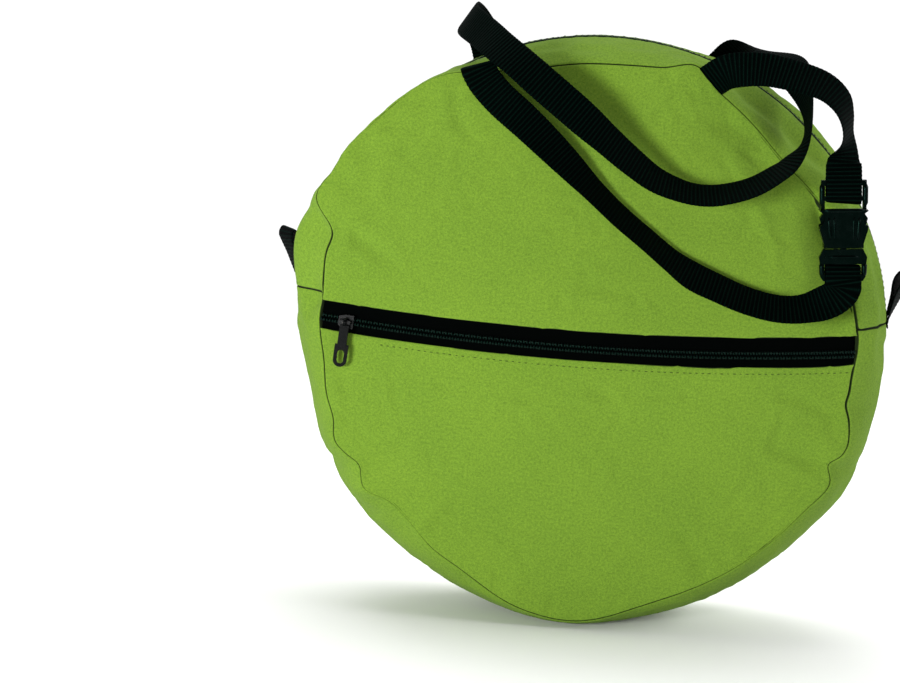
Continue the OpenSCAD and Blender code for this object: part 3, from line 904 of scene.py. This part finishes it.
def zip_row(zip_name, word, side, place, first, last, length, steps, tape_out, stitch_at, bends=False):
    """One side of a zip: its tape, its row of coil teeth and the stitches through them."""
    tape = strip(f"{zip_name}_tape_{word}", lambda t, e: place(t, side * e, tape_out), first, last, steps,
                 length)
    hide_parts(f"{zip_name}_zip_tape_{word}")
    teeth = coil(f"{zip_name}_coil_{word}", place, first, last, int(length / COIL_PITCH), side)
    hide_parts(f"{zip_name}_zip_coil_{word}")
    lines = stitch_row(lambda t, h: place(t, side * stitch_at, COIL_H - 0.5 * MM + h), first, last,
                       int(length / (2 * COIL_PITCH)))
    seam = round_bars(f"{zip_name}_coil_stitches_{word}", lines, 0.28 * MM, BLACK_THREAD)
    for piece in (tape, teeth, seam):
        hang(piece, bends)


for side, word in ((1, "front"), (-1, "back")):
    zip_row("main", word, side, lambda t, a, o: main_point(t, a, TAPE_R + o), MAIN_FIRST, MAIN_LAST,
            MAIN_LENGTH, steps=240, tape_out=-0.5 * MM, stitch_at=2.2 * MM, bends=word == "front")
for side, word in ((1, "upper"), (-1, "lower")):
    zip_row("pocket", word, side, lambda t, a, o: pocket_point(t, a, o - 2.3 * MM), PZ_FIRST, PZ_LAST,
            PZ_LENGTH, steps=120, tape_out=-0.6 * MM, stitch_at=2.1 * MM)


def pocket_stitch(swing, h):
    """Place of the stitching below the pocket zip."""
    out = pocket_frame(swing)[2]
    return on_cloth(pocket_point(swing, POCKET_EDGE_DOWN - 5.5 * MM, 40 * MM), -out, h)


def zip_stitch(angle, s, h):
    """Place of the stitching beside the main zip."""
    inward = Vector((-math.cos(angle), 0, -math.sin(angle)))
    return on_cloth(main_point(angle, s, BAG_R + 30 * MM), inward, h)


lines = stitch_row(pocket_stitch, -0.80 * PZ_SWING, 0.97 * PZ_SWING, int(0.858 * PZ_LENGTH / CLOTH_STITCH),
                   0.5, 0.15 * MM)
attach(round_bars("pocket_edge_stitches", lines, 0.34 * MM, THREAD), "bag")
for side, word in ((1, "front"), (-1, "back")):
    lines = stitch_row(lambda t, h: zip_stitch(t, side * (ZIP_SLOT + 3.2 * MM), h), MAIN_FIRST, MAIN_LAST,
                       int(MAIN_LENGTH / CLOTH_STITCH), 0.6, 0.1 * MM)
    hang(round_bars(f"main_edge_stitches_{word}", lines, 0.2 * MM, THREAD), bends=word == "front")


# ---- Pocket lining: the loose inner wall of the pocket ----
def inside_shell(point, gap):
    """The point itself, or one just inside the shell if it would stand outside it."""
    centre = Vector((0, point[1], AXIS_Z))
    away = Vector(point) - centre
    hit = shell_tree.ray_cast(centre, away.normalized())[0]
    limit = (hit - centre).length - gap if hit else away.length
    return tuple(centre + away.normalized() * min(away.length, limit))


def pocket_lining():
    """A slack wall of cloth behind the front panel, with a shelf that closes the pocket at its top."""
    lining_low, lining_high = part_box("pocket_lining")
    wall = lining_high.y
    radius = lining_high.x
    top = lining_high.z
    n = 40
    points = []
    for i in range(n + 1):
        for j in range(n + 1):
            x = radius * (2 * i / n - 1)
            low = AXIS_Z - math.sqrt(max(radius ** 2 - x ** 2, 0))
            points.append((x, wall, top + (max(low, lining_low.z) - top) * j / n))
    points = np.array(points)
    edge = np.clip((radius - np.hypot(points[:, 0], points[:, 2] - AXIS_Z)) / (40 * MM), 0, 1)
    slack = 2.2 * smooth_noise(points, 90 * MM, 5) + 1.2 * smooth_noise(points, 38 * MM, 8) + 3
    points[:, 1] -= slack * MM * edge
    points = [tuple(p) for p in points]
    hanging = [list(range(i * (n + 1), (i + 1) * (n + 1))) for i in range(n + 1)]
    steps = 6
    shelf = []
    for column in hanging:
        x, y, z = points[column[0]]
        front = -float(crown_s(math.hypot(x, z - AXIS_Z))) + 3 * MM
        shelf.append([column[0]] + list(range(len(points), len(points) + steps)))
        for k in range(1, steps + 1):
            points.append((x, y + (front - y) * k / steps, z - 2.5 * MM * math.sin(math.pi * k / steps)))
    faces = [quad[::-1] for quad in grid_faces(hanging)] + grid_faces(shelf)
    points = [inside_shell(p, 3 * MM) for p in points]
    obj = make_object("pocket_lining_cloth", points, faces, LINING)
    thicken(subdivide(obj), LINING_T)
    panel_weave(obj)
    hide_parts("pocket_lining")
    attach(obj, "bag")


pocket_lining()


# ---- Webbing: this section counts in mm, up to smooth_route(), which turns the routes into metres ----
FRONT = (0, -1, 0)
BUCKLE_AT = Vector((170, -79, 312))
BUCKLE_LEAN = math.radians(-4.5)
LEAN_COS = math.cos(BUCKLE_LEAN)
LEAN_SIN = math.sin(BUCKLE_LEAN)


def on_buckle(across, back, along):
    """A place given from the buckle's middle, in its own leaning directions."""
    return tuple(BUCKLE_AT + Vector((across * LEAN_COS + along * LEAN_SIN, back,
                                     along * LEAN_COS - across * LEAN_SIN)))


def near_seam(angle, r, s):
    """A place given by its angle round the bag, its distance from the axis and s."""
    a = math.radians(angle)
    return (r * math.cos(a), -s, AXIS_Z / MM + r * math.sin(a))


# Routes of the straps: points along each and the way that its face looks there
LONG_ROUTE = [
    ((-88, -44, 388), (0, 1, 0.2)), ((-91, -54, 398), (-0.1, 0.8, 0.5)),
    ((-94.5, -60.5, 406.5), (-0.2, 0.7, 0.65)), ((-96.5, -64, 410.5), (-0.3, 0.1, 0.95)),
    ((-95, -67.5, 406.5), (-0.15, -0.9, 0.35)), ((-89, -69.5, 398), FRONT), ((-77, -71.5, 386.5), FRONT),
    ((-57, -75, 371), (0.2, -0.95, 0.2)), ((-30, -79, 348), (0.4, -0.8, 0.42)),
    ((-9, -80, 329), (0.54, -0.61, 0.58)), ((12, -80, 311), (0.56, -0.56, 0.6)),
    ((32, -80, 296), (0.55, -0.55, 0.62)), ((50, -80, 282.5), (0.48, -0.59, 0.65)),
    ((66, -80, 272.5), (0.35, -0.73, 0.58)), ((84, -79.5, 265), (0.25, -0.72, 0.63)),
    ((103, -79, 258), (0.2, -0.7, 0.68)), ((122, -78.5, 253.5), (0.08, -0.69, 0.71)),
    ((137, -78, 252.5), (-0.03, -0.68, 0.72)), ((151, -78, 255), (-0.15, -0.75, 0.6)),
    ((166, -80, 262), (-0.1, -1, 0.1)), (on_buckle(0, -3.8, -42), FRONT),
    (on_buckle(0, -4.3, -34), FRONT), (on_buckle(0, -3.4, -27), (0, -1, 0.4)),
    (on_buckle(0, 0.4, -24.3), (0, 0, 1)), (on_buckle(0, 3.8, -28), (0, 1, 0.4)),
    (on_buckle(0, 3.9, -36), (0, 1, -0.2)), (on_buckle(0, 2.2, -47), (0, 1, -0.2)),
]
SHORT_ROUTE = [
    (on_buckle(0, 2.4, 47), (0, 1, 0)), (on_buckle(0, 3.9, 38), (0, 1, 0)),
    (on_buckle(0, 4.0, 29), (0, 1, -0.1)), (on_buckle(0, 3.4, 22.5), (0, 1, -0.5)),
    (on_buckle(0, 0, 19.8), (0, 0, -1)), (on_buckle(0, -3.4, 22.5), (0, -1, -0.5)),
    (on_buckle(0, -4.0, 29), FRONT), (on_buckle(0, -3.9, 38), FRONT), (on_buckle(0, -1.5, 46), FRONT),
    ((166, -78, 364), (0.45, -0.9, 0)), ((167, -82, 378), (0.9, -0.45, 0.1)),
    ((165, -85, 392), (0.85, -0.5, 0.2)), ((159, -86, 404), (0.6, -0.7, 0.4)),
    ((147, -84, 413), (0.35, -0.8, 0.5)), ((129, -80, 418), (0.1, -0.85, 0.5)),
    ((108, -74, 421), (0, -0.9, 0.4)), ((92, -69, 420), (-0.05, -0.95, 0.25)),
    ((80, -63.5, 417), (-0.1, -1, 0)), ((72, -57.5, 411), (-0.15, -1, -0.15)),
    ((67, -50, 406), (-0.15, -1, -0.15)), ((63, -43, 402), (-0.15, -1, -0.15)),
]
BACK_ROUTE = [
    (near_seam(116, 190, -46), (0, 1, 0.2)), (near_seam(115, 207, -57), (-0.05, 1, 0.2)),
    ((-93, 56, 421), (-0.25, 0.9, 0.3)), ((-101, 38, 435), (-0.65, 0.45, 0.6)),
    ((-106, 8, 441), (-0.84, 0, 0.54)), ((-105, -24, 438.5), (-0.8, -0.25, 0.52)),
    ((-93, -52, 432), (-0.55, -0.6, 0.55)), ((-82, -71, 425), (-0.25, -0.82, 0.5)),
    ((-68, -84, 416), (0, -0.9, 0.4)), ((-49, -92, 402), (0.05, -1, 0.2)),
    ((-23, -94, 382.5), (0.15, -1, 0.2)), ((-5, -93, 368.5), (0.3, -0.82, 0.4)),
    ((15, -91, 353), (0.35, -0.74, 0.52)), ((34.5, -89, 340), (0.25, -0.66, 0.7)),
    ((56, -87, 332.5), (0.1, -0.55, 0.82)), ((73, -86, 331), (0, -0.52, 0.85)),
    ((89, -86, 334), (-0.12, -0.48, 0.86)), ((104, -85, 339.5), (-0.25, -0.45, 0.86)),
    ((117, -83, 347.5), (-0.42, -0.42, 0.8)), ((128, -79.5, 356.5), (-0.65, -0.38, 0.65)),
    ((138, -70, 372), (-0.95, -0.2, 0.2)), ((142, -50, 388), (-1, -0.05, 0.1)),
    ((140, -26, 404), (-0.95, -0.1, 0.3)), ((131, 2, 419), (-0.6, -0.1, 0.8)),
    ((114, 30, 428), (-0.1, 0.3, 0.95)), ((97, 50, 426), (0.1, 0.8, 0.6)), ((86, 60, 414), (0, 1, 0.2)),
    (near_seam(67.5, 205, -57), (0, 1, 0.2)), (near_seam(68, 190, -46), (0, 1, 0.2)),
]


# Place where the long strap is divided into an upper and a lower stretch
PLUG_CUT = (122, -78, 253)


def smooth_route(route, steps):
    """Catmull-Rom curve through the route's points and the ways that its face looks."""
    rows = np.array([(*p, *n) for p, n in route], float)
    rows[:, :3] *= MM
    last = len(rows) - 1
    out = []
    for i in range(last):
        a, b, c, d = rows[max(i - 1, 0)], rows[i], rows[i + 1], rows[min(i + 2, last)]
        for k in range(steps):
            t = k / steps
            out.append(0.5 * (2 * b + (c - a) * t + (2 * a - 5 * b + 4 * c - d) * t * t
                              + (3 * b - a - 3 * c + d) * t ** 3))
    out.append(rows[last])
    return np.array(out)


def even_rows(rows, spacing):
    """The same curve with its rows spaced evenly, and the distance of each along it."""
    length = np.r_[0, np.cumsum(np.linalg.norm(np.diff(rows[:, :3], axis=0), axis=1))]
    count = int(length[-1] / spacing)
    at = np.linspace(0, length[-1], count + 1)
    return np.column_stack([np.interp(at, length, rows[:, k]) for k in range(rows.shape[1])]), at


def strap_rows(route):
    """Evenly spaced points of a strap, with the distance along it and the three directions at each."""
    rows, at = even_rows(smooth_route(route, 24), RIB / 6)
    last = len(rows) - 1
    frames = []
    for i, row in enumerate(rows):
        along = Vector(rows[min(i + 1, last)][:3] - rows[max(i - 1, 0)][:3]).normalized()
        across = along.cross(Vector(row[3:])).normalized()
        frames.append((Vector(row[:3]), at[i], along, across, across.cross(along)))
    return frames


def webbing(name, frames, nodes):
    """Ribbed woven strap along its frames, with thick rounded ribs across it and scalloped edges."""
    across_steps = 14
    points, weave = [], []
    for p, at, along, across, out in frames:
        rib = abs(math.sin(math.pi * at / RIB)) ** 0.6
        half_w = WEB_W / 2 - 0.35 * MM * (1 - rib)
        for side in (1, -1):
            for k in range(across_steps + 1):
                u = side * (2 * k / across_steps - 1)
                u = math.copysign(1 - (1 - abs(u)) ** 1.6, u)
                edge = 1 - abs(u) ** 12
                flat = min(1, (1 - abs(u)) * 10)
                half = (WEB_T / 2 - RIB_DEEP * (1 - rib) * flat) * (0.2 + 0.8 * edge)
                points.append(p + across * u * half_w + out * side * half)
                weave.append((u * WEB_W / 2, at, 0))
    faces = tube_faces(0, len(frames), 2 * (across_steps + 1))
    obj = make_object(name, points, faces, WEBBING)
    set_weave(obj, weave)
    if nodes:
        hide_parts(*nodes)
    return obj


def cut_frames(frames, place):
    """Splits a strap's frames at the one nearest to a place, which both parts keep."""
    middle = min(range(len(frames)), key=lambda i: (frames[i][0] - Vector(place) * MM).length)
    return frames[:middle + 1], frames[middle:]


upper_half, lower_half = cut_frames(strap_rows(LONG_ROUTE), PLUG_CUT)
strap = webbing("front_handle_long_strap", upper_half, ["handle_webbing_long", "handle_sewn_end_left"])
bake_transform(strap)
strap = webbing("front_handle_plug_strap", lower_half, ["handle_webbing_plug_end"])
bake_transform(strap)
buckle_half, seam_half = cut_frames(strap_rows(SHORT_ROUTE), SHORT_ROUTE[13][0])
strap = webbing("front_handle_buckle_strap", buckle_half, ["handle_webbing_short"])
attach(strap, "front_handle")
strap = webbing("front_handle_sewn_strap", seam_half, ["handle_sewn_end_right"])
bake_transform(strap)
left_end, rest_of_handle = cut_frames(strap_rows(BACK_ROUTE), BACK_ROUTE[2][0])
middle, right_end = cut_frames(rest_of_handle, BACK_ROUTE[-3][0])
strap = webbing("back_handle_strap", middle, ["back_handle_webbing"])
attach(strap, "back_handle")
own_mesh(strap)
for word, piece, sewn, free in (("left", left_end, BACK_ROUTE[1][0], BACK_ROUTE[2][0]),
                                ("right", right_end, BACK_ROUTE[-2][0], BACK_ROUTE[-3][0])):
    strap = webbing(f"back_handle_sewn_strap_{word}", piece, [])
    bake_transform(strap)


# ---- Side tabs: webbing folded into a loop, sewn in at the zip's ends ----
TAB_TURN = math.radians(27)
# Front half of the loop: share of the height, distance from the middle in mm, lean of the face
TAB_LOOP = ((0, 0.9, 0), (0.12, 0.9, 0), (0.35, 1.1, 0), (0.6, 1.7, 0), (0.82, 3.0, 0), (0.97, 2.8, 0.5))


def side_tab(node, side):
    low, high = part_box(node)
    foot = Vector((side * (BAG_R - 3 * MM), 0, low.z + 1 * MM)) / MM
    top = Vector((side * (BAG_R + 8.6 * MM), 0, high.z - 4 * MM)) / MM
    outer, inner = [], []
    for t, gap, lean in TAB_LOOP:
        turn = TAB_TURN * math.sqrt(t)
        out = Vector((side * math.cos(turn), -math.sin(turn), 0))
        centre = foot.lerp(top, t)
        outer.append((tuple(centre + out * gap), tuple(out + Vector((0, 0, lean)))))
        inner.append((tuple(centre - out * gap), tuple(Vector((0, 0, lean)) - out)))
    crest = (tuple(top + Vector((0, 0, 2.6))), (0, 0, 1))
    tab = webbing(node + "_webbing", strap_rows(outer + [crest] + inner[::-1]), [node])
    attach(tab, "bag")


side_tab("side_tab_left", -1)
side_tab("side_tab_right", 1)


# ---- CAD pieces that keep their shape ----
def finish_cad(node, material, bevel):
    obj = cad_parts[node]
    obj.data.materials.clear()
    obj.data.materials.append(material)
    rounded = obj.modifiers.new("rounded", "BEVEL")
    rounded.width = bevel
    rounded.segments = 3
    rounded.limit_method = "ANGLE"
    rounded.angle_limit = math.radians(35)
    rounded.harden_normals = True


for cad_node in ("buckle_socket", "buckle_plug", "buckle_latch_left", "buckle_latch_right"):
    finish_cad(cad_node, PLASTIC, 0.5 * MM)
for cad_node in ("main_zip_slider", "pocket_zip_slider"):
    finish_cad(cad_node, SLIDER_METAL, 0.4 * MM)
for cad_node in ("main_zip_pull", "pocket_zip_pull"):
    finish_cad(cad_node, PULL_METAL, 0.4 * MM)


# Raised ridges of the buckle: start and end across and along it, height in front of it and radius, in mm
SOCKET_RIDGES = [((side * a, z0), (side * b, z1), front, radius)
                 for a, z0, b, z1, front, radius in ((15.2, 17, 15.2, 34, -0.8, 2.0),
                                                     (9.8, -6, 10.8, 10, -5.0, 1.2),
                                                     (6.6, -6, 7.0, 10, -5.0, 0.8)) for side in (1, -1)]
SOCKET_RIDGES.append(((-15.5, 14.6), (15.5, 14.6), -4.2, 1.6))
PLUG_RIDGES = [((side * 14.8, -33), (side * 15.2, -23), -1.0, 1.9) for side in (1, -1)]
PLUG_RIDGES.append(((-10.5, -18.5), (10.5, -18.5), -3.1, 1.0))


def ridges(name, rows, body):
    """Rounded bars moulded on the front of a buckle half."""
    steps = 6
    for number, ((a0, z0), (a1, z1), front, radius) in enumerate(rows, 1):
        line = [Vector(on_buckle(a0 + (a1 - a0) * k / steps, front, z0 + (z1 - z0) * k / steps)) * MM
                for k in range(steps + 1)]
        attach(round_bars(f"{name}_{number}", [line], radius * MM, PLASTIC), body)


ridges("socket_ridge", SOCKET_RIDGES, "front_handle")
ridges("plug_ridge", PLUG_RIDGES, "plug")


# ---- Floor, light and camera ----
FLOOR_SIDE = 12
FLOOR_BACK = 1.15
# Name, place, size and power of each light
LIGHTS = (("key", (-1.2, -1.75, 0.35), 0.5, 52), ("top", (-0.3, 0.6, 2.6), 2.2, 48),
          ("fill", (1.7, -0.15, 0.9), 1.0, 18))
# Brightness of the studio from below its horizon to above it
SKY = (("From Min", -0.2), ("From Max", 0.35), ("To Min", 0.15), ("To Max", 1.05))
CAMERA_PLACE = (-0.0757, -1.9711, 0.5456)
CAMERA_AIM = (-0.1039, 0, 0.1990)
CAMERA_LENS = 107.3
CAMERA_ROLL = math.radians(3.8)


def aim_from(obj, place, aim, roll=0.0):
    obj.location = place
    obj.rotation_mode = "QUATERNION"
    level = (Vector(aim) - obj.location).to_track_quat("-Z", "Y")
    obj.rotation_quaternion = level @ Quaternion((0, 0, 1), roll)


def stage():
    mat = new_material("floor_pale", (0.93, 0.93, 0.93), 0.9, specular=0.1)[0]
    outline = ((-FLOOR_SIDE, -FLOOR_SIDE), (FLOOR_SIDE, -FLOOR_SIDE), (FLOOR_SIDE, FLOOR_BACK),
               (-FLOOR_SIDE, FLOOR_BACK))
    corners = [(x, y, -0.5 * MM) for x, y in outline]
    make_object("floor", corners, [(0, 1, 2, 3)], mat, smooth=False)
    world = bpy.data.worlds.new("studio")
    world.use_nodes = True
    tree = world.node_tree
    coords = add(tree, "ShaderNodeTexCoord")
    split = add(tree, "ShaderNodeSeparateXYZ")
    tree.links.new(coords.outputs["Generated"], split.inputs[0])
    fade = add(tree, "ShaderNodeMapRange")
    for key, value in SKY:
        fade.inputs[key].default_value = value
    tree.links.new(split.outputs["Y"], fade.inputs["Value"])
    tree.links.new(fade.outputs["Result"], tree.nodes["Background"].inputs["Strength"])
    tree.nodes["Background"].inputs["Color"].default_value = (1, 1, 1, 1)
    bpy.context.scene.world = world
    for name, place, size, power in LIGHTS:
        light = bpy.data.lights.new(name, "AREA")
        light.energy = power
        light.size = size
        aim_from(link_object(name, light), place, (0, 0, AXIS_Z))


def camera():
    data = bpy.data.cameras.new("camera")
    data.sensor_width = 36
    data.lens = CAMERA_LENS
    cam = link_object("camera", data)
    aim_from(cam, CAMERA_PLACE, CAMERA_AIM, CAMERA_ROLL)
    bpy.context.scene.camera = cam


stage()
camera()
bpy.context.scene.view_settings.view_transform = "Standard"
